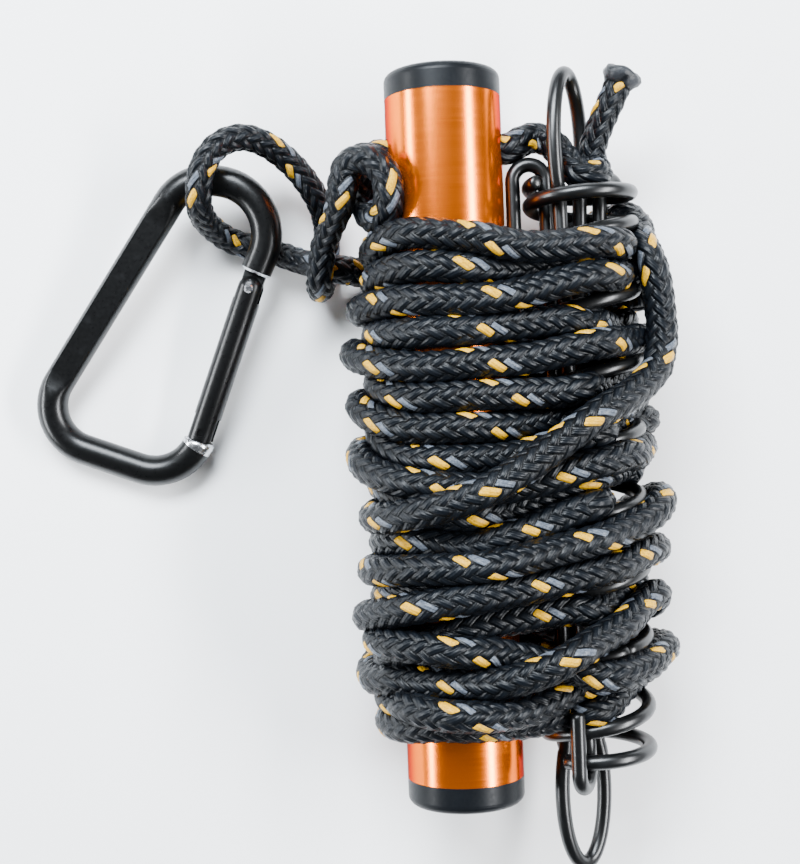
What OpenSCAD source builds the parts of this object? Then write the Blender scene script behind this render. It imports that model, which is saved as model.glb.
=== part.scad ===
// Tubular retrieving magnet lashed to a drawbar spring with its own throw rope, and clipped to a carabiner.
// The assembly lies on its side. The tube runs along +Y, and z = 0 is the tube's axis.

/* [Magnet tube] */
// Outside diameter of the anodised tube
tube_d = 26.5; // [24:0.5:27]
// Wall of the tube
tube_wall = 1.5; // [1:0.1:2]
// Length over both end caps
tube_length = 166; // [160:1:180]
// Height of the part of each cap that shows
cap_height = 6; // [4:0.5:8]
// Height of the rope hole above the lower end
rope_hole_y = 148; // [147.5:0.5:148.5]
// Number of magnets in the stack
magnet_count = 6; // [4:1:6]
// Length of one magnet
magnet_length = 16; // [10:1:16]

/* [Drawbar spring] */
// Wire diameter of the coil and of both drawbars
wire_d = 3.4; // [3:0.1:3.5]
// Mean diameter of the coil
coil_mean_d = 23; // [22.5:0.1:23]
// Distance between the tube's axis and the coil's axis
spring_x = 30.6; // [30.4:0.1:32]
// Number of turns in the coil
coil_turns = 9.95; // [9.8:0.05:10]
// Pitch of the open turns in the middle
open_pitch = 15.7; // [14:0.1:16]
// Pitch of the closed turns at both ends
closed_pitch = 4; // [3.8:0.1:5]

/* [Carabiner] */
// Diameter of the carabiner's bar
bar_d = 7.4; // [6.5:0.1:7.6]
// Diameter of the gate
gate_d = 6.6; // [6:0.1:7]
// Length of the gate beyond its rivet
gate_length = 38.5; // [36:0.5:38.5]

/* [Rope] */
// Diameter of the braided rope
rope_d = 7.3; // [6:0.1:7.5]

/* [Hidden] */
$fn = 64;
gap = 0.3;
deep = 0.01;

tube_r = tube_d / 2;
bore_r = tube_r - tube_wall;
rope_r = rope_d / 2;
rope_hole_r = rope_r + 0.35;
cap_round = 2;
plug_depth = 7;
plug_r = bore_r - 0.15;
seal_wire_r = 0.78;
groove_width = 1.9;
groove_depth = 1.5;
pole_disc_length = 2;
stack_start = cap_height + plug_depth + 0.5;
stack_step = magnet_length + pole_disc_length;
stack_end = stack_start + magnet_count * stack_step + pole_disc_length;
magnet_r = bore_r - 0.2;

wire_r = wire_d / 2;
coil_r = coil_mean_d / 2;
// Height of the coil wire's lower end, and the angle from +X towards +Z where it starts
coil_start_y = 9.9;
coil_start_angle = 135;
// Turns over which the pitch grows at the lower end and shrinks at the upper end
lower_ramp = [0.4, 1.35];
upper_ramp = [8.1, 9];

// Drawbars: hook legs run down the outside of the coil, straight legs run inside it
hook_out_r = coil_r + 2 * wire_r + gap;
hook_leg = 13;
eye_length = 17;

// Carabiner: its gate lies along local -y from the rivet at the origin
carabiner_at = [-46.6, 120.1, -13.8];
carabiner_turn = -21.5;
carabiner_tilt = 7.3;
bar_r = bar_d / 2;
gate_r = gate_d / 2;
// Corners of the bar's centre line as x, y and the radius it turns with
frame_corners = [[0, -50, 12], [-40, -50.5, 11], [-23.2, 19.4, 11], [0.8, 25.2, 12.5]];
hinge_shoulder = 4.4;
nose_shoulder = gate_length + 0.8;
tongue_t = 2.6;
tongue_r = 2.6;
tongue_reach = 5;
slot_t = 3.2;
rivet_r = 1.1;
spine_flat = 2.9;

// Rope
winding_y = [17, 130];
table_z = -24;
tail_flare_r = 4.5;
loop_route = [[-24, 142, 3], [-26, 139, 2], [-27.6, 133.5, -1.5], [-28.3, 128.5, -3.6],
    [-28.7, 124.4, -4.3], [-29.2, 118.9, -6.4], [-29.4, 116.7, -12], [-29.2, 118.9, -17.6],
    [-28.7, 124.4, -20], [-28.3, 131, -19.6], [-28.8, 137.5, -16.8], [-31.2, 143, -13.8],
    [-35.5, 148.6, -11], [-41, 152.8, -8], [-46.5, 154.3, -5.5], [-51.5, 152.5, -3.7],
    [-55, 148.4, -2.8], [-56.5, 143.9, -3.3], [-57.1, 139.6, -5.8], [-56.9, 136.9, -11],
    [-55.3, 134.9, -15.8], [-52, 132.6, -19.2], [-47.8, 131.1, -20.2], [-43.4, 130, -20.2],
    [-38.5, 128.2, -19.4], [-33.5, 125.9, -15.6], [-28.8, 124.4, -12.5], [-24, 123.4, -10.8],
    [-19.5, 123, -9.5]];
lead_route = [[-22, 146.5, 0], [-17, 148, 0], [-12, 148, 0], [0, 148, 0], [10, 148, 0], [13.5, 148.4, 0],
    [16, 149.8, 0], [19, 151, -0.3], [22.5, 150.8, -1.2], [26, 149, -1.6], [29.5, 147.3, 0.4],
    [33, 146.5, 3]];
tail_route = [[33.5, 147.5, 3], [35, 150.5, 2], [36.8, 154.5, 1], [38.6, 158.5, 0.5],
    [40.2, 162, 0]];

// ---- helpers ----

function unit(v) = v / norm(v);

function tangents(route) = [for (i = [0 : len(route) - 1])
    unit(route[min(i + 1, len(route) - 1)] - route[max(i - 1, 0)])];

function square_to(n, t) = unit(n - (n * t) * t);

// A normal carried along the route without twist
function normals(t) = [for (i = 0, n = square_to([0.13, 0.29, 0.95], t[0]); i < len(t);
    i = i + 1, n = i < len(t) ? square_to(n, t[i]) : n) n];

// Catmull-Rom curve through every point of a route
function spline_point(a, b, c, d, s) = 0.5 * (2 * b + (c - a) * s
    + (2 * a - 5 * b + 4 * c - d) * s * s + (3 * b - a - 3 * c + d) * s * s * s);

function smooth(route, steps) = let (last = len(route) - 1) concat(
    [for (i = [0 : last - 1], k = [0 : steps - 1])
        spline_point(route[max(i - 1, 0)], route[i], route[i + 1], route[min(i + 2, last)], k / steps)],
    [route[last]]);

// Arc that rounds corner b of the outline a, b, c
function rounded(a, b, c, r, steps) = let (
    to_a = unit(a - b), to_c = unit(c - b), half = acos(to_a * to_c) / 2,
    centre = b + unit(to_a + to_c) * r / sin(half),
    from = b + to_a * r / tan(half) - centre, to = b + to_c * r / tan(half) - centre)
    [for (k = [0 : steps]) let (s = k / steps, swing = 180 - 2 * half)
        centre + (from * sin((1 - s) * swing) + to * sin(s * swing)) / sin(swing)];

// Round bar along a route; ends lists the radius at both ends
module sweep(route, ends, sides) {
    t = tangents(route);
    n = normals(t);
    last = len(route) - 1;
    points = [for (i = [0 : last], k = [0 : sides - 1]) let (
        a = 360 * k / sides, r = ends[0] + (ends[1] - ends[0]) * i / last)
        route[i] + r * (cos(a) * n[i] + sin(a) * cross(t[i], n[i]))];
    walls = [for (i = [0 : last - 1], k = [0 : sides - 1]) let (
        a = i * sides + k, b = i * sides + (k + 1) % sides)
        each [[a, a + sides, b], [b, a + sides, b + sides]]];
    start = [for (k = [1 : sides - 2]) [0, k, k + 1]];
    end = [for (k = [1 : sides - 2]) [last * sides, last * sides + k + 1, last * sides + k]];
    polyhedron(points, concat(walls, start, end));
}

module along_y(y) { translate([0, y, 0]) rotate([-90, 0, 0]) children(); }

module place_carabiner() {
    translate(carabiner_at) rotate([0, 0, carabiner_turn]) rotate([carabiner_tilt, 0, 0]) children();
}

// ---- magnet tube ----

module tube() {
    color("darkorange") difference() {
        along_y(cap_height) cylinder(r = tube_r, h = tube_length - 2 * cap_height);
        along_y(0) cylinder(r = bore_r, h = tube_length);
        translate([-tube_d, rope_hole_y, 0]) rotate([0, 90, 0]) cylinder(r = rope_hole_r, h = 2 * tube_d);
    }
}

// End cap from its outer face at z = 0 inwards along +z
module cap() {
    groove_at = cap_height + plug_depth / 2 - groove_width / 2;
    difference() {
        union() {
            rotate_extrude() polygon(concat([[0, 0]],
                [for (a = [0 : 15 : 90]) [tube_r - cap_round + cap_round * sin(a), cap_round * (1 - cos(a))]],
                [[tube_r, cap_height], [0, cap_height]]));
            translate([0, 0, cap_height - deep]) cylinder(r = plug_r, h = plug_depth);
        }
        translate([0, 0, groove_at]) difference() {
            cylinder(r = plug_r + 1, h = groove_width);
            cylinder(r = plug_r - groove_depth, h = groove_width);
        }
    }
}

module seal_ring() {
    rotate_extrude() translate([bore_r - seal_wire_r - 0.02, 0]) circle(seal_wire_r);
}

module upper_cap() { color("#2b2d31") translate([0, tube_length, 0]) rotate([90, 0, 0]) cap(); }

module lower_cap() { color("#2b2d31") along_y(0) cap(); }

module upper_seal() { color("black") along_y(tube_length - cap_height - plug_depth / 2) seal_ring(); }

module lower_seal() { color("black") along_y(cap_height + plug_depth / 2) seal_ring(); }

module magnets() {
    color("silver") for (i = [0 : magnet_count - 1])
        along_y(stack_start + pole_disc_length + i * stack_step + 0.02)
            cylinder(r = magnet_r, h = magnet_length - 0.04);
}

module pole_discs() {
    color("gray") for (i = [0 : magnet_count])
        along_y(stack_start + i * stack_step) cylinder(r = magnet_r, h = pole_disc_length);
}

module stack_plug() {
    color("silver") along_y(stack_end + 0.02) difference() {
        cylinder(r = bore_r - 0.02, h = 6);
        translate([0, 0, 3]) cylinder(r = 2.5, h = 4);
    }
}

// ---- drawbar spring ----

// Whole of a ramp that rises from 0 to 1 between its two ends, up to t
function ramp_area(t, ramp) = t < ramp[0] ? 0
    : t < ramp[1] ? (t - ramp[0]) * (t - ramp[0]) / (2 * (ramp[1] - ramp[0]))
    : t - (ramp[0] + ramp[1]) / 2;

function coil_y(t) = coil_start_y + closed_pitch * t
    + (open_pitch - closed_pitch) * (ramp_area(t, lower_ramp) - ramp_area(t, upper_ramp));

module drawbar_spring() {
    rings_per_turn = 24;
    route = [for (i = [0 : coil_turns * rings_per_turn]) let (
        t = i / rings_per_turn, a = coil_start_angle - 360 * t)
        [spring_x + coil_r * cos(a), coil_y(t), coil_r * sin(a)]];
    color("#1c1e22") sweep(route, [wire_r, wire_r], 8);
}

// One end of a drawbar's leg: from the tip of the hook, over the coil's end, to the straight leg.
// leg is the straight leg's x and z from the coil's axis, and out is +1 where the hook opens upwards
function hook(leg, bend_y, out) = let (
    radial = unit(leg), turn_r = (hook_out_r - norm(leg)) / 2, middle = radial * (hook_out_r + norm(leg)) / 2)
    concat([for (s = [1, 0.5]) let (p = radial * hook_out_r)
            [spring_x + p[0], bend_y + out * (turn_r + s * hook_leg), p[1]]],
        [for (a = [0 : 22.5 : 180]) let (p = middle + radial * turn_r * cos(a))
            [spring_x + p[0], bend_y + out * turn_r * (1 - sin(a)), p[1]]]);

// Eye as an arc of an ellipse from one leg to the other; wide is the half width as x and z
function eye(centre, wide, middle_y, out) = [for (a = [-40 : 12 : 220])
    let (p = centre + wide * cos(a)) [spring_x + p[0], middle_y + out * eye_length * sin(a), p[1]]];

function reversed(list) = [for (i = [len(list) - 1 : -1 : 0]) list[i]];

function even(a, b, steps) = [for (k = [1 : steps - 1]) a + (b - a) * k / steps];

function drawbar_route(first, loop, second) = let (b = reversed(second)) concat(
    first, even(first[len(first) - 1], loop[0], 10), loop, even(loop[len(loop) - 1], b[0], 10), b);

module upper_drawbar() {
    color("#1c1e22") sweep(drawbar_route(hook([-3.2, 7], 4.7, 1),
        eye([-2.3, 0], [-3.9, 6.6], 148, 1), hook([-3.4, -6.9], 7.2, 1)), [wire_r, wire_r], 10);
}

module lower_drawbar() {
    color("#1c1e22") sweep(drawbar_route(hook([-7.7, 0], 144.5, -1),
        eye([-3.4, -3.8], [-5.3, 3.9], 0.7, -1), hook([5.4, -5.5], 142, -1)), [wire_r, wire_r], 10);
}

// ---- carabiner ----

function corner(i) = [frame_corners[i][0], frame_corners[i][1]];

// Centre line of the bar from its nose, round the toe and the spine, to the hinge
function frame_route() = let (
    flat = concat([[0, tongue_reach - nose_shoulder]],
        rounded([0, 0], corner(0), corner(1), frame_corners[0][2], 10),
        rounded(corner(0), corner(1), corner(2), frame_corners[1][2], 12),
        even(corner(1) + [3.3, 13.7], corner(2) - [1.6, 6.6], 8),
        rounded(corner(1), corner(2), corner(3), frame_corners[2][2], 8),
        rounded(corner(2), corner(3), [0, 0], frame_corners[3][2], 12),
        [[0, hinge_shoulder]]))
    [for (p = flat) [p[0], p[1], 0]];

module carabiner_body() {
    spine_angle = atan2(corner(2)[1] - corner(1)[1], corner(2)[0] - corner(1)[0]);
    spine_length = norm(corner(2) - corner(1));
    color("#17181b") place_carabiner() difference() {
        union() {
            sweep(frame_route(), [bar_r, bar_r], 16);
            // Tongue that the rivet holds
            translate([0, 0, -tongue_t / 2]) linear_extrude(tongue_t) polygon(concat(
                arc([0, 0], tongue_r, 180, 360, 12),
                [[tongue_r, hinge_shoulder + 1], [-tongue_r, hinge_shoulder + 1]]));
        }
        translate([0, 0, -bar_d]) cylinder(r = rivet_r, h = 2 * bar_d);
        // Nose milled down to a tongue
        translate([0, -nose_shoulder, 0]) difference() {
            translate([-bar_d, 0, -bar_d]) cube([2 * bar_d, tongue_reach + 1, 2 * bar_d]);
            translate([-2.4, -1, -tongue_t / 2]) cube([4.8, tongue_reach + 3, tongue_t]);
        }
        // Notch of the nose, which lets the pin in from the inner side
        translate([0, -nose_shoulder + 2.8, -bar_d]) linear_extrude(2 * bar_d) polygon(concat(
            arc([0, 0], 1.3, -90, 90, 8), [[-bar_d, 1.3], [-bar_d, -1.3]]));
        // Flat faces milled along the spine
        for (side = [-1, 1]) translate([corner(1)[0], corner(1)[1], side * (spine_flat + 2)])
            rotate([0, 0, spine_angle]) translate([14, -bar_d, -2])
                cube([spine_length - 24, 2 * bar_d, 4]);
    }
}

module gate() {
    color("#1f2023") place_carabiner() difference() {
        union() {
            rotate([90, 0, 0]) cylinder(r = gate_r, h = gate_length);
            sphere(r = gate_r);
        }
        translate([-bar_d, -3.2, -slot_t / 2]) cube([2 * bar_d, 3.2 + gate_d, slot_t]);
        translate([-bar_d, -gate_length - 1, -slot_t / 2]) cube([2 * bar_d, 7, slot_t]);
        translate([0, 0, -bar_d]) cylinder(r = rivet_r + 0.05, h = 2 * bar_d);
        translate([0, -nose_shoulder + 2.8, -bar_d]) cylinder(r = 0.9, h = 2 * bar_d);
        translate([0, -3, 0]) rotate([90, 0, 0]) cylinder(r = 1.7, h = 17);
    }
}

module hinge_rivet() {
    color("silver") place_carabiner() translate([0, 0, -gate_r]) union() {
        cylinder(r = rivet_r - 0.02, h = gate_d);
        translate([0, 0, gate_d - deep]) cylinder(r1 = rivet_r - 0.02, r2 = 0.7, h = 0.35);
    }
}

module nose_pin() {
    color("silver") place_carabiner() translate([0, -nose_shoulder + 2.8, -gate_r + 0.4])
        cylinder(r = 0.88, h = gate_d - 0.8);
}

module gate_plunger() {
    color("silver") place_carabiner() translate([0, -2.75, 0]) rotate([90, 0, 0]) cylinder(r = 1.6, h = 5);
}

module gate_spring() {
    route = [for (i = [0 : 66]) [cos(30 * i) * 1.25, -8.2 - i * 0.17, sin(30 * i) * 1.25]];
    color("gray") place_carabiner() sweep(route, [0.25, 0.25], 6);
}

// ---- rope ----

function arc(centre, r, from, to, steps) = [for (k = [0 : steps]) let (a = from + (to - from) * k / steps)
    [centre[0] + r * cos(a), centre[1] + r * sin(a)]];

// Belt round two circles that share a bottom level; x and z in the section's plane
function belt(left_r, right, right_r, lean) = concat(
    arc([0, 0], left_r, 90 - lean, 270, 20), arc(right, right_r, -90, 90 - lean, 20));

module rope_winding() {
    inner_r = tube_r + 0.35;
    outer_right_r = 20;
    outer_right_z = table_z + outer_right_r;
    lean = 13.5;
    color("#202226") difference() {
        translate([0, winding_y[1], 0]) rotate([90, 0, 0]) linear_extrude(winding_y[1] - winding_y[0])
            difference() {
                polygon(belt(-table_z, [spring_x, outer_right_z], outer_right_r, lean));
                polygon(belt(inner_r, [spring_x, 0], inner_r, 0));
            }
        for (p = [[-3.2, 7], [-3.4, -6.9]]) hook_pocket(unit(p), winding_y[0] - 1, 14);
        hook_pocket(unit([5.4, -5.5]), winding_y[1] - 13, 14);
    }
}

// Way for the outer leg of a hook and for its travel
module hook_pocket(radial, y, length) {
    translate([spring_x + hook_out_r * radial[0], y, hook_out_r * radial[1]])
        rotate([-90, 0, 0]) cylinder(r = wire_r + 0.5, h = length);
}

module rope_loop() { color("#202226") sweep(smooth(loop_route, 3), [rope_r, rope_r], 10); }

module stopper_knot() {
    color("#202226") hull() {
        translate([-24.2, 142.5, -1]) sphere(r = 8.8, $fn = 28);
        translate([-17.4, 140.5, 11.6]) sphere(r = 6.4, $fn = 28);
    }
}

module rope_lead() { color("#202226") sweep(smooth(lead_route, 3), [rope_r, rope_r], 10); }

module eye_knot() { color("#202226") translate([33.6, 146.7, 3.6]) sphere(r = 5.4); }

module rope_tail() { color("#202226") sweep(smooth(tail_route, 3), [rope_r, rope_r], 10); }

module tail_seal() {
    ends = tail_route[4] - tail_route[3];
    lean = acos(ends[2] / norm(ends));
    color("#101114") translate(tail_route[4]) rotate([0, lean, atan2(ends[1], ends[0])])
        cylinder(r1 = rope_r, r2 = tail_flare_r, h = 3);
}

tube();
upper_cap();
lower_cap();
upper_seal();
lower_seal();
magnets();
pole_discs();
stack_plug();
drawbar_spring();
upper_drawbar();
lower_drawbar();
carabiner_body();
gate();
hinge_rivet();
nose_pin();
gate_plunger();
gate_spring();
rope_winding();
rope_loop();
stopper_knot();
rope_lead();
eye_knot();
rope_tail();
tail_seal();
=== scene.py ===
import math

import bpy
import numpy as np
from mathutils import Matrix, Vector


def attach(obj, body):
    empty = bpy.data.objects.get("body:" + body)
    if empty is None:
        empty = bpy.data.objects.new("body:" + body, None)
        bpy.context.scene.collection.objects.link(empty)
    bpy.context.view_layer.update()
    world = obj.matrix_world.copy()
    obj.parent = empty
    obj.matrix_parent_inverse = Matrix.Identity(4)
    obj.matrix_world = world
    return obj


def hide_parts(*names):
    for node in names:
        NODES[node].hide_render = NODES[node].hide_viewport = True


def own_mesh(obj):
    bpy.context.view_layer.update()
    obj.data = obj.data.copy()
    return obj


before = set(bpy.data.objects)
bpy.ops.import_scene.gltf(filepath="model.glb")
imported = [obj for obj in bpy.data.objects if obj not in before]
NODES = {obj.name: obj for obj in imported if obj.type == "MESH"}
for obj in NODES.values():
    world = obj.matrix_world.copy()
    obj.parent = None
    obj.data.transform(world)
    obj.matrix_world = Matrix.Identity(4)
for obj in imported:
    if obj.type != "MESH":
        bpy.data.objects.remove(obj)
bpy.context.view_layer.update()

MM = 0.001
COLLECTION = bpy.context.scene.collection

# Real sizes in millimetres, as in the CAD source
TABLE_Z = -24.0
TUBE_R = 13.25
WIRE_R = 1.7
SPRING_X = 30.6
COIL_R = 11.5
COIL_TURNS = 9.95
COIL_LOW_Y, COIL_HIGH_Y = 9.9, 139.5
CLOSED_PITCH, OPEN_PITCH = 4, 15.7

BAR_R = 3.7
CARABINER_AT = (-46.6, 120.1, -13.8)
CARABINER_TURN = -21.5
CARABINER_TILT = 7.3

ROPE_D = 7.3
ROPE_R = ROPE_D / 2
# Strands of one direction round the rope, the length in which one strand goes round once, and the
# height of the strands
CARRIERS = 8
BRAID_PITCH = 26.5
BRAID_RELIEF = 0.5

# ---- rope winding, in millimetres ----

# Height of each turn of rope as it crosses the front, at x = right side, 30, 16, 3, -10 and left side,
# how far it lies over the first layer, how far it bulges at the left, and how deep it sinks into the coil
TURNS = [
    ((125, 124, 123.5, 126, 128, 125), 1.5, 0, 3.5),
    ((121.5, 120.5, 119.5, 120, 120.5, 118), 0, 0, 3.5),
    ((117, 117, 114, 112.3, 113.4, 113), 4, 3, 2),
    ((106.5, 108, 107, 106.5, 106, 107), 0, 0, 1),
    ((103, 102.5, 99.5, 99, 98, 103), 4, 4, 1.5),
    ((96, 92, 92, 92, 92.5, 96), 0, 0, 1),
    ((91, 88, 85, 85, 86, 91.5), 3, 2.4, 1.5),
    ((85, 82, 78.5, 78, 78.5, 85), 0, 0, 1),
    ((80, 77, 73, 71.5, 75, 80.5), 3, 2.4, 1.5),
    ((75, 71, 67, 64.5, 69, 73), 0.5, 0, 1),
    ((69, 66, 62.5, 61, 60.5, 60), 0, 0, 1.5),
    ((60, 57, 53.5, 52, 50, 47.5), 0, 0, 1.5),
    ((56, 53, 50.5, 49, 46.5, 43), 3.5, 1, 1.5),
    ((48, 45, 43.5, 42, 38, 34.3), 0, 0, 1.5),
    ((33, 30, 33.5, 37, 38.5, 38), 2.5, 0, 1.5),
    ((33, 27.5, 24, 23.5, 24, 24.5), 2.5, 0, 2),
    ((27, 23, 20, 20.3, 20.8, 19.3), 0, 0, 2),
    ((46, 38, 32.5, 30.3, 29.8, 29.3), 7, 0, 0),
    ((68, 60, 57.5, 55.5, 54.5, 53.5), 7, 4, 0),
    ((99, 86.5, 77, 70.5, 66.5, 66), 7.5, 4.2, -0.5),
]
# The way in from the loop, behind the tube
WIND_IN = [(-28.8, 124.4, -12.5), (-24.8, 123.6, -13.4), (-21, 123.2, -15.6), (-16.5, 123, -18.4)]
# The rise behind the coil before the last turn, which comes down along the coil and over the front
LAST_RISE = [(-12, 54.5, -12), (3, 57, -17), (15, 60, -17), (25, 67, -19.5), (30, 80, -20), (31, 98, -20),
             (31, 115, -20), (32, 127, -19), (36.5, 132.5, -14.5), (40.3, 132.6, -8.5), (42.2, 129.8, -3),
             (43.6, 126, 2.5), (45, 121.3, 6), (46.3, 115.9, 6.5), (47, 109.5, 6), (47, 103.5, 6.5)]
# The end of the rope, tucked in behind the tube
WIND_OUT = [(-12, 67.5, -12), (0, 69.5, -16.9), (10, 71, -16.9), (16, 71.5, -16)]

# How firmly a laid point of the rope keeps its height: the share of the way back to it in each round
FREE, GUIDED, FIXED = 0.02, 0.16, 0.6
SETTLING_ROUNDS = 300
SETTLING_STEP = 3.0


def spline(points, step):
    """Catmull-Rom curve through the points, with a point about every step."""
    p = np.array(points, float)
    out = []
    for i in range(len(p) - 1):
        a, b, c, d = p[max(i - 1, 0)], p[i], p[i + 1], p[min(i + 2, len(p) - 1)]
        n = max(2, int(np.linalg.norm(c - b) / step * 2))
        s = (np.arange(n) / n)[:, None]
        square, cube = 2 * a - 5 * b + 4 * c - d, 3 * b - a - 3 * c + d
        out.append(0.5 * (2 * b + (c - a) * s + square * s**2 + cube * s**3))
    out.append(p[-1:])
    return resample(np.concatenate(out), step)


def lengths_along(p):
    """Length of the line from its start to each of its points."""
    return np.concatenate([[0], np.cumsum(np.linalg.norm(np.diff(p, axis=0), axis=1))])


def resample(p, step):
    """The same line with evenly spaced points."""
    s = lengths_along(p)
    n = max(2, int(round(s[-1] / step)) + 1)
    t = np.linspace(0, s[-1], n)
    return np.stack([np.interp(t, s, p[:, k]) for k in range(3)], axis=1)


def coil_points(per_turn):
    """Centre line of the drawbar spring, whose pitch is open between its first and last turns."""
    t = np.arange(int(COIL_TURNS * per_turn) + 1) / per_turn

    def past(a, b):
        """Turns past the change of pitch between the turns a and b."""
        return np.where(t < a, 0, np.where(t < b, (t - a) ** 2 / (2 * (b - a)), t - (a + b) / 2))

    y = COIL_LOW_Y + CLOSED_PITCH * t + (OPEN_PITCH - CLOSED_PITCH) * (past(0.4, 1.35) - past(8.1, 9))
    a = np.radians(135 - 360 * t)
    return np.stack([SPRING_X + COIL_R * np.cos(a), y, COIL_R * np.sin(a)], axis=1)


def wire_points():
    """Wire that the rope can't go into: the coil, the drawbars' legs and the tips of their hooks."""
    rods = [
        (SPRING_X - 3.2, 7, 0, 150), (SPRING_X - 3.4, -6.9, 0, 150),
        (SPRING_X - 7.7, 0, 0, 144), (SPRING_X + 5.4, -5.5, 0, 142),
        (SPRING_X - 6.3, 13.8, 4, 24), (SPRING_X - 6.7, -13.6, 4, 26),
        (SPRING_X - 15.2, 0, 125, 144), (SPRING_X + 10.6, -10.8, 124, 142),
    ]
    straight = [np.array([(x, y, z) for y in np.arange(low, high, 2.0)]) for x, z, low, high in rods]
    return np.concatenate([coil_points(36)] + straight)


def lay_turns():
    """First guess of the rope's line, and how firmly each point is held: every turn crosses the front
    from right to left and comes back behind."""
    points, holds = [], []

    def lay(hold, *new):
        points.extend(new)
        holds.extend([hold] * len(new))

    back, back_coil, diagonal = 17.2, 13.2, 0.72
    left_before = 123.5
    for k, ((right, y30, y16, y3, y_10, left), over, bulge, sink) in enumerate(TURNS):
        front, front_coil = 17.0 + over, 12.6 + 0.5 * over
        rise = right - left_before
        if k == len(TURNS) - 1:
            lay(FIXED, *LAST_RISE, (45.6, right - 1, 8.5))
        else:
            if k:
                lay(FREE, (-0.7 * back, left_before + 0.1 * rise, -0.7 * back))
            lay(FREE,
                (3, left_before + 0.3 * rise, -back),
                (16, left_before + 0.5 * rise, -(back + back_coil) / 2),
                (SPRING_X, left_before + 0.7 * rise, -back_coil),
                (SPRING_X + diagonal * back_coil, left_before + 0.88 * rise, -diagonal * back_coil))
            lay(GUIDED, (SPRING_X + front_coil + 0.5 - sink, right, 0))
        lay(GUIDED,
            (SPRING_X + diagonal * front_coil, (right + y30) / 2, diagonal * front_coil),
            (SPRING_X - 0.6, y30, front_coil),
            (16, y16, (front + front_coil) / 2),
            (3, y3, front),
            (-0.62 * front, y_10, 0.78 * front),
            (-17 - bulge, left, 0))
        left_before = left
    return points, holds


def pushed(a, b, gap, share):
    """How far points a are pushed away from points b where they are closer than the gap."""
    v = a - b
    distance = np.linalg.norm(v, axis=1) + 1e-9
    return np.maximum(gap - distance, 0)[:, None] * v / distance[:, None] * share


def settle(p, hold):
    """Pulls the rope tight round tube and coil and pushes turns apart where they would lie in each other."""
    wires = wire_points()
    rope_gap, wire_gap = 2 * ROPE_R - 0.5, WIRE_R + ROPE_R - 0.7
    tight_gap = rope_gap - 1.2  # between the turns that are pressed together low on the left
    lift, reach = 0.3, 4
    target, fixed = p.copy(), hold == FIXED
    for it in range(SETTLING_ROUNDS):
        if it % 6 == 0:
            ropes = ((p[:, None] - p[None]) ** 2).sum(2)
            first, second = np.nonzero(np.triu(ropes < (rope_gap + reach) ** 2, 6))
            near_wires = ((p[:, None] - wires[None]) ** 2).sum(2)
            rope, wire = np.nonzero(near_wires < (WIRE_R + ROPE_R + reach) ** 2)
        tight, pushes = (0.35, 2) if it < SETTLING_ROUNDS * 0.8 else (0.08, 4)
        p[1:-1] += tight * ((p[:-2] + p[2:]) / 2 - p[1:-1])
        p[:, 1] += hold * (target[:, 1] - p[:, 1])
        for _ in range(pushes):
            low_left = (p[first, 0] < -4) & (p[first, 1] < 48)
            push = pushed(p[first], p[second], np.where(low_left, tight_gap, rope_gap), 0.4)
            np.add.at(p, first, push)
            np.add.at(p, second, -push)
            np.add.at(p, rope, pushed(p[rope], wires[wire], wire_gap, 0.5))
            from_axis = np.hypot(p[:, 0], p[:, 2]) + 1e-9
            out = np.maximum(TUBE_R + ROPE_R - 0.1, from_axis) / from_axis
            p[:, 0] *= out
            p[:, 2] *= out
            p[:, 2] = np.maximum(p[:, 2], TABLE_Z + ROPE_R + lift)
        p[fixed] += 0.4 * (target[fixed] - p[fixed])
        p[: len(WIND_IN)] = target[: len(WIND_IN)]
    return p


def winding():
    """Line of the wound rope, from the loop to the tucked-in end."""
    laid, laid_holds = lay_turns()
    points = np.array(WIND_IN + laid + WIND_OUT, float)
    holds = [FIXED] * len(WIND_IN) + laid_holds + [GUIDED] * len(WIND_OUT)
    line = spline(points, SETTLING_STEP)
    # Each point of the line is held as firmly as the laid point that it passes
    hold, passed = np.zeros(len(line)), 0
    for i, q in enumerate(line):
        ahead = range(passed, min(passed + 3, len(points)))
        passed = min(ahead, key=lambda m: ((points[m] - q) ** 2).sum())
        hold[i] = holds[passed]
    return settle(line, hold)


# ---- meshes along a line ----


def frames_along(p):
    """Tangent and two normals at each point, carried along without twist."""
    t = np.gradient(p, axis=0)
    t /= np.linalg.norm(t, axis=1)[:, None]
    n = np.zeros_like(t)
    start = np.array([0.13, 0.29, 0.95])
    n[0] = start - (start @ t[0]) * t[0]
    n[0] /= np.linalg.norm(n[0])
    for i in range(1, len(p)):
        v = n[i - 1] - (n[i - 1] @ t[i]) * t[i]
        n[i] = v / np.linalg.norm(v)
    return t, n, np.cross(t, n)


def braid_height(u, v):
    """Height from 0 to 1 of the braid at u, the share of the way round, and v, the length in pitches."""
    a, b = CARRIERS * (v - u), CARRIERS * (v + u)
    fa, fb = a - np.floor(a), b - np.floor(b)
    q = np.mod(np.floor(a) - np.floor(b), 4)
    over = q < 1.5
    across = np.where(over, fa, fb)
    along = np.where(over, (fb + 1 - q) / 2, (fa + q - 2) / 2)
    return (1 - (2 * across - 1) ** 2) * (1 - (2 * along - 1) ** 4)


def make_object(name, verts, faces, uvs=None):
    """Smooth mesh object from millimetres. uvs has one pair for each corner of each face."""
    mesh = bpy.data.meshes.new(name)
    mesh.from_pydata((np.asarray(verts) * MM).tolist(), [], [list(f) for f in faces])
    if uvs is not None:
        layer = mesh.uv_layers.new(name="UVMap")
        layer.data.foreach_set("uv", np.asarray(uvs, np.float32).ravel())
    mesh.update()
    mesh.shade_smooth()
    obj = bpy.data.objects.new(name, mesh)
    COLLECTION.objects.link(obj)
    return obj


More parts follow.
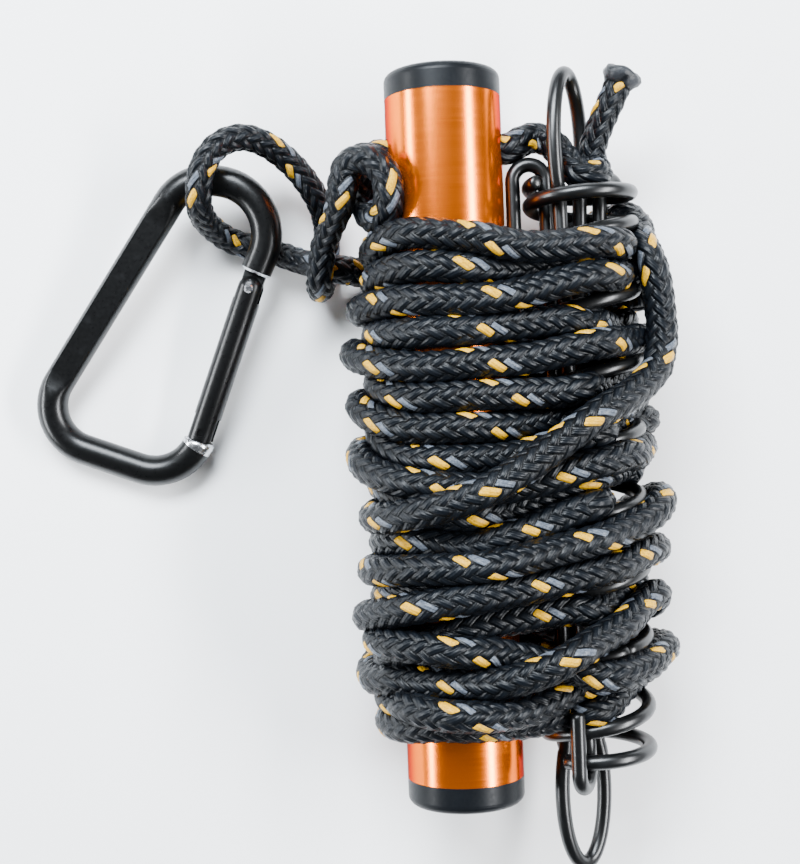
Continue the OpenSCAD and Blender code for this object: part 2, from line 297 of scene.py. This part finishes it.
def ring_quads(rows, sides):
    """Faces between rows of points that each run round a tube."""
    i = np.arange(rows - 1)[:, None] * sides
    k = np.arange(sides)[None, :]
    k2 = (k + 1) % sides
    return np.stack([i + k, i + k2, i + sides + k2, i + sides + k], axis=2).reshape(-1, 4)


def tube_grid(p, radii, sides, start_length=0.0, unit=BRAID_PITCH, relief=0.0, frames=None):
    """Vertices, faces and corner UVs of a tube along p, closed by domed ends. The UVs run once round the
    tube, and once for each unit of its length."""
    t, n, b = frames if frames is not None else frames_along(p)
    radii = np.broadcast_to(np.asarray(radii, float), (len(p),))
    u = np.arange(sides) / sides
    u2 = u + 1 / sides
    v = (start_length + lengths_along(p)) / unit
    ang = 2 * np.pi * u
    r = radii[:, None] * np.ones(sides)
    if relief:
        r = r + relief * (braid_height(u[None, :], v[:, None]) - 0.62)
    ring = np.cos(ang)[None, :, None] * n[:, None] + np.sin(ang)[None, :, None] * b[:, None]
    verts = list((p[:, None] + r[:, :, None] * ring).reshape(-1, 3))
    faces = ring_quads(len(p), sides).tolist()
    vv, uu = np.meshgrid(v, u, indexing="ij")
    uu2 = np.broadcast_to(u2, vv.shape)
    corners = [(uu[:-1], vv[:-1]), (uu2[:-1], vv[:-1]), (uu2[1:], vv[1:]), (uu[1:], vv[1:])]
    uvs = [np.stack([np.stack(c, 2) for c in corners], axis=2).reshape(-1, 2)]
    dome, flat_v, tip_v = 0.35, 0.02, 0.04
    for end, away in ((0, -1), (len(p) - 1, 1)):
        base, outward = end * sides, away * t[end]
        rings = [list(range(base, base + sides))]
        for share in (0.75, 0.4):
            middle = p[end] + math.sqrt(1 - share * share) * dome * radii[end] * outward
            rings.append(list(range(len(verts), len(verts) + sides)))
            verts.extend([middle + share * (verts[base + m] - p[end]) for m in range(sides)])
        tip = len(verts)
        verts.append(p[end] + 0.36 * radii[end] * outward)
        around = [(m, (m + 1) % sides) for m in range(sides)]
        cap = [([low[m], low[m2], high[m2], high[m]],
                [(u[m], v[end]), (u2[m], v[end]), (u2[m], v[end] + flat_v), (u[m], v[end] + flat_v)])
               for low, high in zip(rings[:-1], rings[1:]) for m, m2 in around]
        cap += [([rings[-1][m], rings[-1][m2], tip],
                 [(u[m], v[end] + flat_v), (u2[m], v[end] + flat_v), (u[m], v[end] + tip_v)])
                for m, m2 in around]
        faces.extend(face[::away] for face, _ in cap)
        uvs.append(np.array([corner for _, places in cap for corner in places[::away]]))
    return np.array(verts), faces, np.concatenate(uvs)


def tube_object(name, p, radii, sides, **options):
    """Round or braided tube along p as an object."""
    return make_object(name, *tube_grid(np.asarray(p, float), radii, sides, **options))


# ---- materials ----


class Maker:
    """Short way to write a node material. Values can be numbers, colours or the sockets of other nodes."""

    def __init__(self, name):
        self.mat = bpy.data.materials.new(name)
        self.mat.use_nodes = True
        self.tree = self.mat.node_tree
        self.shader = self.tree.nodes["Principled BSDF"]

    def node(self, kind, **values):
        n = self.tree.nodes.new(kind)
        for key, value in values.items():
            setattr(n, key, value)
        return n

    def put(self, socket, value):
        if isinstance(value, bpy.types.NodeSocket):
            self.tree.links.new(value, socket)
        else:
            socket.default_value = value

    def math(self, operation, a, b=0.0, c=0.0):
        n = self.node("ShaderNodeMath", operation=operation)
        for k, value in enumerate((a, b, c) if operation == "MULTIPLY_ADD" else (a, b)):
            self.put(n.inputs[k], value)
        return n.outputs[0]

    def mix(self, share, a, b):
        """Colour a where share is 0 and b where it is 1."""
        n = self.node("ShaderNodeMix", data_type="RGBA")
        for name, value in (("Factor", share), ("A", a), ("B", b)):
            self.put(n.inputs[name], value)
        return n.outputs["Result"]

    def mix_value(self, share, a, b):
        """Number a where share is 0 and b where it is 1."""
        n = self.node("ShaderNodeMix", data_type="FLOAT")
        for place, value in ((0, share), (2, a), (3, b)):
            self.put(n.inputs[place], value)
        return n.outputs[0]

    def ramp(self, value, low, high, low_out=0.0, high_out=1.0):
        """Value from low to high brought to the range from low_out to high_out."""
        n = self.node("ShaderNodeMapRange")
        for k, x in enumerate((value, low, high, low_out, high_out)):
            self.put(n.inputs[k], x)
        return n.outputs[0]

    def noise(self, scale, detail=3.0, stretch=(1, 1, 1), rough=0.5):
        mapping = self.node("ShaderNodeMapping")
        mapping.inputs["Scale"].default_value = stretch
        self.put(mapping.inputs["Vector"], self.node("ShaderNodeTexCoord").outputs["Object"])
        n = self.node("ShaderNodeTexNoise")
        for name, value in (("Scale", scale), ("Detail", detail), ("Roughness", rough)):
            self.put(n.inputs[name], value)
        self.put(n.inputs["Vector"], mapping.outputs[0])
        return n.outputs[0]

    def bump(self, height, distance, strength):
        n = self.node("ShaderNodeBump")
        for name, value in (("Strength", strength), ("Distance", distance), ("Height", height)):
            self.put(n.inputs[name], value)
        return n.outputs[0]

    def set(self, **values):
        """Finished material, whose shader has these values."""
        for key, value in values.items():
            self.put(self.shader.inputs[key.replace("_", " ")], value)
        return self.mat


def rgb(r, g, b):
    return (r, g, b, 1.0)


def rope_material():
    """Black braid with an amber and a grey strand, with painted shade in its grooves and a painted highlight
    on its crowns. Strands and their crossings match braid_height.
    """
    m = Maker("rope_braid")
    uv = m.node("ShaderNodeUVMap", uv_map="UVMap")
    split = m.node("ShaderNodeSeparateXYZ")
    m.put(split.inputs[0], uv.outputs[0])
    u, v = split.outputs[0], split.outputs[1]
    a = m.math("MULTIPLY", m.math("SUBTRACT", v, u), CARRIERS)
    b = m.math("MULTIPLY", m.math("ADD", v, u), CARRIERS)
    fa, fb = m.math("FRACT", a), m.math("FRACT", b)
    ia, ib = m.math("FLOOR", a), m.math("FLOOR", b)
    q = m.math("FLOORED_MODULO", m.math("SUBTRACT", ia, ib), 4.0)
    over = m.math("LESS_THAN", q, 1.5)
    across = m.mix_value(over, fb, fa)
    along_b = m.math("MULTIPLY", m.math("ADD", fa, m.math("SUBTRACT", q, 2.0)), 0.5)
    along_a = m.math("MULTIPLY", m.math("ADD", fb, m.math("SUBTRACT", 1.0, q)), 0.5)
    along = m.mix_value(over, along_b, along_a)
    c = m.math("MULTIPLY_ADD", across, 2.0, -1.0)
    d = m.math("MULTIPLY_ADD", along, 2.0, -1.0)
    round_across = m.math("SUBTRACT", 1.0, m.math("MULTIPLY", c, c))
    round_along = m.math("SUBTRACT", 1.0, m.math("POWER", m.math("ABSOLUTE", d), 4.0))
    height = m.math("MULTIPLY", round_across, round_along)
    # Yarns that lie side by side in each strand
    yarn = m.math("SINE", m.math("MULTIPLY", across, 2 * math.pi * 3))
    fluff = m.noise(2600, 2)
    fine = m.math("MULTIPLY_ADD", yarn, 0.09, m.math("MULTIPLY", fluff, 0.16))
    full = m.math("ADD", height, fine)
    # The amber strand and the reflective grey one beside it, where they lie on top
    which = m.math("FLOORED_MODULO", ia, float(CARRIERS))
    is_amber = m.math("MULTIPLY", over, m.math("LESS_THAN", which, 0.5))
    is_grey = m.math("MULTIPLY", over, m.math("GREATER_THAN", which, CARRIERS - 1.5))
    inside = m.math("GREATER_THAN", height, 0.2)
    narrow = m.math("GREATER_THAN", round_across, 0.6)
    is_amber = m.math("MULTIPLY", is_amber, inside)
    is_grey = m.math("MULTIPLY", m.math("MULTIPLY", is_grey, inside), narrow)
    patches = m.noise(60, 2)
    # Black strands, painted darker down in the grooves between them as shade and lighter on their crowns as a
    # painted highlight
    dark = m.mix(m.ramp(height, 0.1, 0.95), rgb(0.0005, 0.0007, 0.0010), rgb(0.0025, 0.0036, 0.0053))
    dark = m.mix(m.ramp(patches, 0.35, 0.75, 0.0, 0.3), dark, rgb(0.0060, 0.0078, 0.0105))
    amber = m.mix(m.ramp(fluff, 0.3, 0.75), rgb(0.36, 0.18, 0.003), rgb(0.66, 0.37, 0.010))
    grey = m.mix(m.ramp(fluff, 0.3, 0.75), rgb(0.035, 0.042, 0.054), rgb(0.11, 0.125, 0.15))
    colour = m.mix(is_amber, dark, amber)
    colour = m.mix(is_grey, colour, grey)
    rough = m.mix_value(is_grey, m.ramp(fluff, 0.3, 0.7, 0.3, 0.44), 0.28)
    return m.set(Base_Color=colour, Roughness=rough, Normal=m.bump(full, 0.0004, 0.9),
                 Specular_IOR_Level=0.16)


def melted_material():
    m = Maker("melted_rope")
    n = m.noise(500, 5)
    colour = m.mix(m.ramp(n, 0.35, 0.7), rgb(0.003, 0.0035, 0.0045), rgb(0.02, 0.022, 0.026))
    return m.set(Base_Color=colour, Roughness=m.ramp(n, 0.3, 0.7, 0.3, 0.6), Normal=m.bump(n, 0.0005, 0.8),
                 Specular_IOR_Level=0.3)


def coated_wire_material():
    m = Maker("coated_wire")
    n = m.noise(900, 4)
    marks = m.noise(160, 6, (1, 0.3, 1), 0.6)
    colour = m.mix(m.ramp(marks, 0.58, 0.72), rgb(0.0012, 0.0014, 0.0016), rgb(0.005, 0.0055, 0.006))
    return m.set(Base_Color=colour, Roughness=m.ramp(n, 0.3, 0.7, 0.29, 0.34),
                 Normal=m.bump(n, 0.000004, 0.5), Specular_IOR_Level=0.45)


def black_anodised_material():
    m = Maker("black_anodised")
    n = m.noise(1300, 3)
    wear = m.noise(240, 5)
    colour = m.mix(m.ramp(wear, 0.6, 0.78), rgb(0.0012, 0.0013, 0.0014), rgb(0.005, 0.0052, 0.0056))
    return m.set(Base_Color=colour, Roughness=m.ramp(n, 0.3, 0.7, 0.27, 0.33),
                 Normal=m.bump(n, 0.000003, 0.5), Specular_IOR_Level=0.3)


def orange_material():
    m = Maker("orange_anodised")
    lines = m.noise(3000, 2, (0.02, 1, 0.02), 0.5)
    cloud = m.noise(40, 3)
    colour = m.mix(m.ramp(cloud, 0.3, 0.7), rgb(0.76, 0.14, 0.002), rgb(0.86, 0.175, 0.004))
    return m.set(Base_Color=colour, Metallic=0.92, Roughness=m.ramp(lines, 0.3, 0.7, 0.19, 0.24),
                 Normal=m.bump(lines, 0.000002, 0.4), Specular_Tint=rgb(0.2, 0.03, 0.0),
                 Specular_IOR_Level=0.2)


def cap_material():
    m = Maker("moulded_cap")
    n = m.noise(1500, 3)
    cloud = m.noise(90, 3)
    colour = m.mix(m.ramp(cloud, 0.3, 0.7), rgb(0.0022, 0.0027, 0.0034), rgb(0.0045, 0.0055, 0.007))
    return m.set(Base_Color=colour, Roughness=m.ramp(n, 0.3, 0.7, 0.34, 0.44), Normal=m.bump(n, 0.00001, 0.6),
                 Specular_IOR_Level=0.12)


def rubber_material():
    m = Maker("seal_rubber")
    n = m.noise(1200, 3)
    colour = m.mix(m.ramp(n, 0.3, 0.7), rgb(0.008, 0.008, 0.008), rgb(0.02, 0.02, 0.02))
    return m.set(Base_Color=colour, Roughness=m.ramp(n, 0.3, 0.7, 0.5, 0.7))


def metal_material(name, dark, light, stretch, rough):
    """Bare metal with fine lines from its tool, which run along the small number of stretch."""
    m = Maker(name)
    lines = m.noise(900, 3, stretch, 0.6)
    colour = m.mix(m.ramp(lines, 0.3, 0.7), rgb(*dark), rgb(*light))
    return m.set(Base_Color=colour, Metallic=1.0, Roughness=m.ramp(lines, 0.3, 0.7, rough, rough + 0.14),
                 Normal=m.bump(lines, 0.00003, 0.5))


def paint(obj, material):
    """The object, with this material alone."""
    obj.data.materials.clear()
    obj.data.materials.append(material)
    return obj


ROPE = rope_material()
WIRE = coated_wire_material()
BLACK = black_anodised_material()
CAP = cap_material()
RUBBER = rubber_material()
STEEL = metal_material("bright_steel", (0.45, 0.46, 0.48), (0.72, 0.73, 0.75), (1, 1, 0.1), 0.18)
NICKEL = metal_material("nickel", (0.52, 0.50, 0.46), (0.72, 0.70, 0.66), (1, 0.1, 1), 0.1)
GROUND = metal_material("ground_steel", (0.25, 0.26, 0.28), (0.42, 0.43, 0.45), (1, 0.1, 1), 0.3)
ALLOY = metal_material("turned_alloy", (0.5, 0.51, 0.52), (0.72, 0.73, 0.74), (0.1, 1, 0.1), 0.22)

# ---- CAD nodes that are shown as they are ----

for node, material, slot in (
    ("tube", orange_material(), "anodised_tube"),
    ("upper_cap", CAP, "cap_rubber"), ("lower_cap", CAP, "cap_rubber"),
    ("upper_seal", RUBBER, "seal_rubber"), ("lower_seal", RUBBER, "seal_rubber"),
    ("magnets", NICKEL, "magnet_nickel"), ("pole_discs", GROUND, "pole_steel"),
    ("stack_plug", ALLOY, "plug_aluminium"),
    ("gate", BLACK, "black_anodised"), ("nose_pin", BLACK, "black_anodised"),
    ("hinge_rivet", STEEL, "bright_steel"),
    ("gate_plunger", STEEL, "bright_steel"), ("gate_spring", STEEL, "bright_steel"),
):
    paint(NODES[node], material)

# ---- coil and drawbars ----


WIRE_STEP, WIRE_SIDES, WIRE_UNIT = 0.9, 20, 10.0


def hook(leg, bend_y, out):
    """From the tip of a drawbar's hook, over the coil's end, to its straight leg inside the coil. leg is the
    leg's place from the spring's axis."""
    tip_length = 13
    reach = COIL_R + 2 * WIRE_R + 0.3
    leg = np.array(leg, float)
    from_axis = np.linalg.norm(leg)
    radial = leg / from_axis
    turn_r = (reach - from_axis) / 2
    middle = radial * (reach + from_axis) / 2
    tip = [(radial * reach, bend_y + out * (turn_r + s * tip_length)) for s in (1, 0.75, 0.5, 0.25)]
    bend = [(middle + radial * turn_r * math.cos(a), bend_y + out * turn_r * (1 - math.sin(a)))
            for a in np.linspace(0, math.pi, 17)]
    return [(SPRING_X + q[0], y, q[1]) for q, y in tip + bend]


def eye(centre, wide, middle_y, out):
    """Oval eye at a drawbar's end. centre is its place from the spring's axis, wide its half width."""
    half_length = 17
    centre, wide = np.array(centre), np.array(wide)
    return [(SPRING_X + centre[0] + wide[0] * math.cos(a), middle_y + out * half_length * math.sin(a),
             centre[1] + wide[1] * math.cos(a)) for a in np.radians(np.arange(-40, 221, 5))]


def straight(a, b, parts):
    """Points that part the way from a to b, without its ends."""
    a, b = np.array(a), np.array(b)
    return [a + (b - a) * k / parts for k in range(1, parts)]


def drawbar(body, first, loop, second):
    """Drawbar of round wire: a hook, a leg, the eye, a leg back and a hook."""
    back = second[::-1]
    line = np.array(first + straight(first[-1], loop[0], 12) + loop + straight(loop[-1], back[0], 12) + back)
    obj = tube_object(body + "_wire", spline(line, WIRE_STEP), WIRE_R, WIRE_SIDES, unit=WIRE_UNIT)
    paint(obj, WIRE)
    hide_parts(body)
    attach(obj, body)


drawbar("upper_drawbar", hook((-3.2, 7), 4.7, 1), eye((-2.3, 0), (-3.9, 6.6), 148, 1),
        hook((-3.4, -6.9), 7.2, 1))
drawbar("lower_drawbar", hook((-7.7, 0), 144.5, -1), eye((-3.4, -3.8), (-5.3, 3.9), 0.7, -1),
        hook((5.4, -5.5), 142, -1))

# The coil is cut into its two end turns and its middle, and all three stay with the magnet, as the rope does
LOWER_SPLIT, UPPER_SPLIT = 34.0, 117.0
coil = coil_points(40)
coil_frames = frames_along(coil)
lower_i, upper_i = (int(np.argmax(coil[:, 1] > split)) for split in (LOWER_SPLIT, UPPER_SPLIT))
for name, part in (
    ("coil_lower", slice(0, lower_i + 1)),
    ("coil_middle", slice(lower_i, upper_i + 1)),
    ("coil_upper", slice(upper_i, len(coil))),
):
    frames = [f[part] for f in coil_frames]
    obj = tube_object(name, coil[part], WIRE_R, WIRE_SIDES, unit=WIRE_UNIT, frames=frames)
    paint(obj, WIRE)
    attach(obj, "magnet")
    if name == "coil_lower":
        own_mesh(obj)
    elif name == "coil_upper":
        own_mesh(obj)
    else:
        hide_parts("drawbar_spring")

# ---- carabiner ----


# In the carabiner's own frame the gate turns about the origin and closes along -Y
NOSE, HINGE = (0, -39.3), (0, 4.4)
SPINE_FOOT, SPINE_HEAD = (-40, -50.5), (-23.2, 19.4)
CORNERS = (((0, -50), 12), (SPINE_FOOT, 11), (SPINE_HEAD, 11), ((0.8, 25.2), 12.5))
BAR_SIDES = 40
TONGUE_HALF = 1.3


def place_carabiner(p):
    """From the carabiner's own frame to the part's frame."""
    c, s = math.cos(math.radians(CARABINER_TURN)), math.sin(math.radians(CARABINER_TURN))
    turn = np.array([[c, -s, 0], [s, c, 0], [0, 0, 1]])
    c, s = math.cos(math.radians(CARABINER_TILT)), math.sin(math.radians(CARABINER_TILT))
    tilt = np.array([[1, 0, 0], [0, c, -s], [0, s, c]])
    return np.asarray(p) @ (turn @ tilt).T + np.array(CARABINER_AT)


def rounded(a, b, c, r, steps):
    """Arc of radius r that rounds the corner b of the way from a to c."""
    a, b, c = np.array(a, float), np.array(b, float), np.array(c, float)
    ta, tc = (a - b) / np.linalg.norm(a - b), (c - b) / np.linalg.norm(c - b)
    half = math.acos(ta @ tc) / 2
    centre = b + (ta + tc) / np.linalg.norm(ta + tc) * r / math.sin(half)
    start, end = b + ta * r / math.tan(half) - centre, b + tc * r / math.tan(half) - centre
    swing = math.pi - 2 * half
    shares = [k / steps for k in range(steps + 1)]
    return [centre + (start * math.sin((1 - k) * swing) + end * math.sin(k * swing)) / math.sin(swing)
            for k in shares]


def carabiner_line():
    """Centre line of the bar from its nose, round the toe and the spine, to the hinge."""
    way = [(0, 0)] + [corner for corner, _ in CORNERS] + [(0, 0)]
    flat = [np.array(NOSE, float), np.array((0, -39.6))]
    for k, (_, radius) in enumerate(CORNERS):
        arc = rounded(*way[k:k + 3], radius, 14)
        if k == 0:
            arc = arc[2:]  # the nose starts a little way round the first corner
        parts = max(2, int(np.linalg.norm(arc[0] - flat[-1]) / 1.5))
        flat += straight(flat[-1], arc[0], parts) + arc
    flat += straight(flat[-1], HINGE, 3) + [np.array(HINGE, float)]
    line = np.array([(x, y, 0) for x, y in flat])
    return line[np.concatenate([[True], np.linalg.norm(np.diff(line, axis=0), axis=1) > 0.05])]


def milled_share(line):
    """How much of the flat faces along the spine there is at each point: they fade out at both its ends."""
    foot, head = np.array(SPINE_FOOT, float), np.array(SPINE_HEAD, float)
    length = np.linalg.norm(head - foot)
    axis = (head - foot) / length
    along = (line[:, :2] - foot) @ axis
    off_spine = np.abs((line[:, :2] - foot) @ np.array([axis[1], -axis[0]]))
    return np.clip((along - 11) / 4, 0, 1) * np.clip((length - 7 - along) / 4, 0, 1) * (off_spine < 2)


def tongue(verts, faces, outline):
    """Adds a flat tongue with a bevelled edge."""
    outline = np.array(outline, float)
    centre = outline.mean(0)
    first, m = len(verts), len(outline)
    bevel, edge = 0.3, 0.9
    for z, share in ((-TONGUE_HALF, edge), (-TONGUE_HALF + bevel, 1.0), (TONGUE_HALF - bevel, 1.0),
                     (TONGUE_HALF, edge)):
        verts.extend(np.append(centre + (q - centre) * share, z) for q in outline)
    faces.extend((first + ring_quads(4, m)).tolist())
    faces.append([first + j for j in range(m)][::-1])
    faces.append([first + 3 * m + j for j in range(m)])


def carabiner():
    """Bar with its tongues for hinge and nose, and bright steel rings at both of its ends that are a painted
    highlight.
    """
    line = carabiner_line()
    t = np.gradient(line, axis=0)
    t /= np.linalg.norm(t, axis=1)[:, None]
    side = np.stack([t[:, 1], -t[:, 0], np.zeros(len(t))], axis=1)
    ang = np.arange(BAR_SIDES) / BAR_SIDES * 2 * np.pi
    flat_depth, last = 1.15, len(line) - 1
    verts = []
    for p, s, share in zip(line, side, milled_share(line)):
        limit = BAR_R - flat_depth * share
        z = np.clip(BAR_R * np.sin(ang), -limit, limit)
        verts.extend(p + BAR_R * np.cos(ang)[:, None] * s + z[:, None] * np.array([0, 0, 1.0]))
    faces = ring_quads(len(line), BAR_SIDES)[:, [0, 3, 2, 1]].tolist()

    def ring(at, share, ahead=0.0):
        """Points of the bar's ring at this place on the line, drawn in or out, and moved ahead."""
        around = verts[at * BAR_SIDES:(at + 1) * BAR_SIDES]
        return [line[at] + ahead * t[at] + share * (q - line[at]) for q in around]

    # Bevelled shoulders at both ends, with rings of bright steel laid over them as a painted highlight, most
    # of all at the nose
    rim, rim_faces = [], []
    for highlight_places, away in (((3, 2, 1, 0), -1), ((last,), 1)):
        end, first = highlight_places[-1], len(verts)
        verts.extend(ring(end, 0.84, away * 0.55))
        verts.append(line[end] + away * 0.55 * t[end])
        for m in range(BAR_SIDES):
            m2 = (m + 1) % BAR_SIDES
            base = end * BAR_SIDES
            faces.append([base + m, first + m, first + m2, base + m2][::away])
            faces.append([first + m, first + BAR_SIDES, first + m2][::away])
        first = len(rim)
        for at in highlight_places:
            rim.extend(ring(at, 1.012))
        rim.extend(ring(end, 0.86, away * 0.57))
        order = [0, 3, 2, 1] if away > 0 else [1, 2, 3, 0]
        rim_faces.extend((first + ring_quads(len(highlight_places) + 1, BAR_SIDES))[:, order].tolist())

    round_end = [(2.6 * math.cos(a), 2.6 * math.sin(a)) for a in np.linspace(-math.pi, 0, 17)]
    tongue(verts, faces, round_end + [(2.6, 5.2), (-2.6, 5.2)])
    tongue(verts, faces, [(-2.3, -40.4), (2.3, -40.4), (2.3, -35), (1.6, -34.4), (-1.6, -34.4), (-2.3, -35)])
    bar = paint(make_object("carabiner_bar", place_carabiner(verts), faces), BLACK)
    bar.data.set_sharp_from_angle(angle=math.radians(38))
    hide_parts("carabiner_body")
    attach(bar, "carabiner")
    # Bright steel rings over the bar's ends: a painted highlight
    painted_highlight = paint(make_object("carabiner_painted_highlight", place_carabiner(rim), rim_faces), STEEL)
    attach(painted_highlight, "carabiner")


carabiner()

# ---- rope ----


def rope_object(name, p, sides, start_length, stretch=((0, 1),)):
    """Braided rope along p. stretch has pairs of length along it and how slim it is drawn there."""
    radii = (ROPE_R - 0.18) * np.interp(lengths_along(p), *np.array(stretch, float).T)
    return paint(tube_object(name, p, radii, sides, start_length=start_length, relief=BRAID_RELIEF), ROPE)


# From the stopper knot down to the table, through the carabiner and back to the winding
LOOP_ROUTE = [(-23.3, 139.6, 5.8), (-24.6, 134.8, 3), (-26.8, 131, -0.5), (-28.3, 128, -3),
              (-29, 124.8, -4.3), (-29.8, 120.8, -6.6), (-30, 119, -12), (-29.6, 120.6, -17.6),
              (-28.7, 124.4, -20), (-28.3, 131, -19.6), (-28.8, 137.5, -16.8), (-31.2, 143, -13.8),
              (-35.5, 148.6, -11), (-41, 152.8, -8), (-46.5, 154.3, -5.5), (-51.5, 152.5, -3.7),
              (-55, 148.4, -2.8), (-56.5, 143.9, -3.3), (-57.1, 139.6, -5.8), (-56.9, 136.9, -11),
              (-55.3, 134.9, -15.8), (-52, 132.6, -19.2), (-47.8, 131.1, -20.2), (-43.4, 130, -20.2),
              (-38.5, 128.2, -19.4), (-33.5, 125.9, -15.6)]
# Round the stopper knot, from the tube's cross hole
KNOT_ROUTE = [(-13.5, 148, 0), (-15.6, 147.8, -0.7), (-17.6, 146, -1.3), (-18.3, 142.5, -1.2),
              (-18.3, 138.3, -0.6), (-17.6, 134.6, 1), (-15.6, 132.6, 4), (-13.6, 133.6, 7.8),
              (-12.9, 137.2, 10.4), (-13.5, 141.2, 11), (-15.8, 144.4, 10.4), (-19, 145.4, 8.8),
              (-21.9, 144, 7.2)]
# From the melted end round the upper drawbar's eye and through the tube's cross holes
LEAD_ROUTE = [(40.4, 162.4, 0.2), (38.6, 158.5, 0), (36.8, 154.8, -0.7), (35.3, 151.2, -2),
              (34.4, 147.8, -3.2), (34.5, 144.6, -3.1), (35, 142.2, -0.3), (33.6, 140.9, 2.6),
              (31.5, 140.9, 3), (29.4, 142.6, 1.6), (27.2, 146.2, -0.5), (24.6, 149.6, -1.5),
              (21, 151, -2), (17.8, 150, -0.8), (15.2, 148.6, 0), (12, 148, 0), (0, 148, 0)]
LOOSE_STEP, WOUND_STEP = 0.8, BRAID_PITCH / CARRIERS / 3
LOOSE_SIDES, WOUND_SIDES = 32, 24

turns = winding()
whole = spline(LEAD_ROUTE + KNOT_ROUTE + LOOP_ROUTE, LOOSE_STEP)
loop_i = int(np.argmin(np.linalg.norm(whole - np.array(LOOP_ROUTE[0]), axis=1)))
lead_line = whole[: loop_i + 1]
loop_line = np.concatenate([whole[loop_i:-1], spline(turns[:3], LOOSE_STEP)])
turn_line = spline(turns[2:], WOUND_STEP)
lead_length, loop_length, turn_length = (
    float(lengths_along(p)[-1]) for p in (lead_line, loop_line, turn_line))

lead = rope_object("rope_end", lead_line, LOOSE_SIDES, 0.0, ((0, 0.9), (16, 0.9), (24, 1)))
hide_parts("rope_lead", "stopper_knot", "eye_knot", "rope_tail")
loop = rope_object("rope_loop_braid", loop_line, LOOSE_SIDES, lead_length,
                   ((0, 1), (8, 0.87), (142, 0.87), (153, 1)))
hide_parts("rope_loop")
wound = rope_object("rope_turns", turn_line, WOUND_SIDES, 0.0)
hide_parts("rope_winding")


def melted_tip():
    """Rope end that was melted with a flame: wider than the rope and lumpy."""
    ahead = lead_line[0] - lead_line[3]
    ahead /= np.linalg.norm(ahead)
    side = np.cross(ahead, (0, 0, 1.0))
    side /= np.linalg.norm(side)
    up = np.cross(side, ahead)
    # Height above the rope's end, and radius
    profile = [(-0.6, 3.3), (0.2, 3.75), (1.1, 4.4), (2.0, 4.55),
               (2.7, 4.2), (3.1, 3.4), (3.25, 2.2), (3.1, 1.0)]
    sides = 36
    verts = []
    for h, r in profile:
        for a in (2 * math.pi * m / sides for m in range(sides)):
            lump = 1 + 0.05 * math.sin(3 * a + h) + 0.035 * math.sin(7 * a - 2 * h)
            spoke = math.cos(a) * side + math.sin(a) * up
            verts.append(lead_line[0] + ahead * (h + 0.15 * math.sin(5 * a)) + r * lump * spoke)
    faces = ring_quads(len(profile), sides)[:, [0, 3, 2, 1]].tolist()
    for base, height, order in ((0, -0.6, 1), ((len(profile) - 1) * sides, 3.0, -1)):
        faces += [[base + m, base + (m + 1) % sides, len(verts)][::order] for m in range(sides)]
        verts.append(lead_line[0] + ahead * height)
    obj = paint(make_object("rope_tip", verts, faces), melted_material())
    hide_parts("tail_seal")
    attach(obj, "magnet")
    return obj


tip = melted_tip()
for piece, line, length, start, far, lay, on_it in (
    (lead, lead_line, lead_length, lead_line[-1], "fitting", "loose", [tip]),
    (loop, loop_line, loop_length, loop_line[0], "object", "loose", []),
    (wound, turn_line, turn_length, turn_line[0], "object", "coiled", []),
):
    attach(piece, "magnet")

# ---- floor, light and camera ----


FLOOR_HALF = 3.0
CAMERA_AT = (-12.27 * MM, 84.6 * MM, 318 * MM)
CAMERA_ROLL = -2.05
LIT = (0, 0.08, 0)  # middle of the part, which all lights face


def stage_floor():
    m = Maker("pale_floor")
    shade = m.mix(m.noise(6, 2), rgb(0.88, 0.88, 0.88), rgb(0.92, 0.92, 0.92))
    mesh = bpy.data.meshes.new("floor")
    s, z = FLOOR_HALF, (TABLE_Z - 0.05) * MM
    mesh.from_pydata([(-s, -s, z), (s, -s, z), (s, s, z), (-s, s, z)], [], [(0, 1, 2, 3)])
    obj = bpy.data.objects.new("floor", mesh)
    COLLECTION.objects.link(obj)
    paint(obj, m.set(Base_Color=shade, Roughness=0.85))


def area_light(name, place, size, power, colour):
    data = bpy.data.lights.new(name, "AREA")
    data.shape = "RECTANGLE"
    data.size, data.size_y = size
    data.energy = power
    data.color = colour
    obj = bpy.data.objects.new(name, data)
    COLLECTION.objects.link(obj)
    obj.location = place
    obj.rotation_euler = (Vector(LIT) - Vector(place)).to_track_quat("-Z", "Y").to_euler()


stage_floor()
world = bpy.data.worlds.new("studio")
bpy.context.scene.world = world
world.use_nodes = True
background = world.node_tree.nodes["Background"]
background.inputs["Color"].default_value = rgb(0.93, 0.96, 1.0)
background.inputs["Strength"].default_value = 0.14
area_light("window", (-0.15, 0.5, 0.5), (0.45, 0.22), 20.0, (0.86, 0.93, 1.0))
area_light("right_strip", (0.5, 0.05, 0.42), (0.6, 0.1), 14.0, (0.95, 0.97, 1.0))
area_light("left_strip", (-0.6, 0.1, 0.2), (0.6, 0.08), 9.0, (0.92, 0.96, 1.0))

camera = bpy.data.objects.new("camera", bpy.data.cameras.new("camera"))
COLLECTION.objects.link(camera)
camera.location = CAMERA_AT
camera.rotation_euler = (0, 0, math.radians(CAMERA_ROLL))
camera.data.sensor_width = 36
camera.data.lens = 58.04
camera.data.clip_start = 0.01
camera.data.clip_end = 20
bpy.context.scene.camera = camera
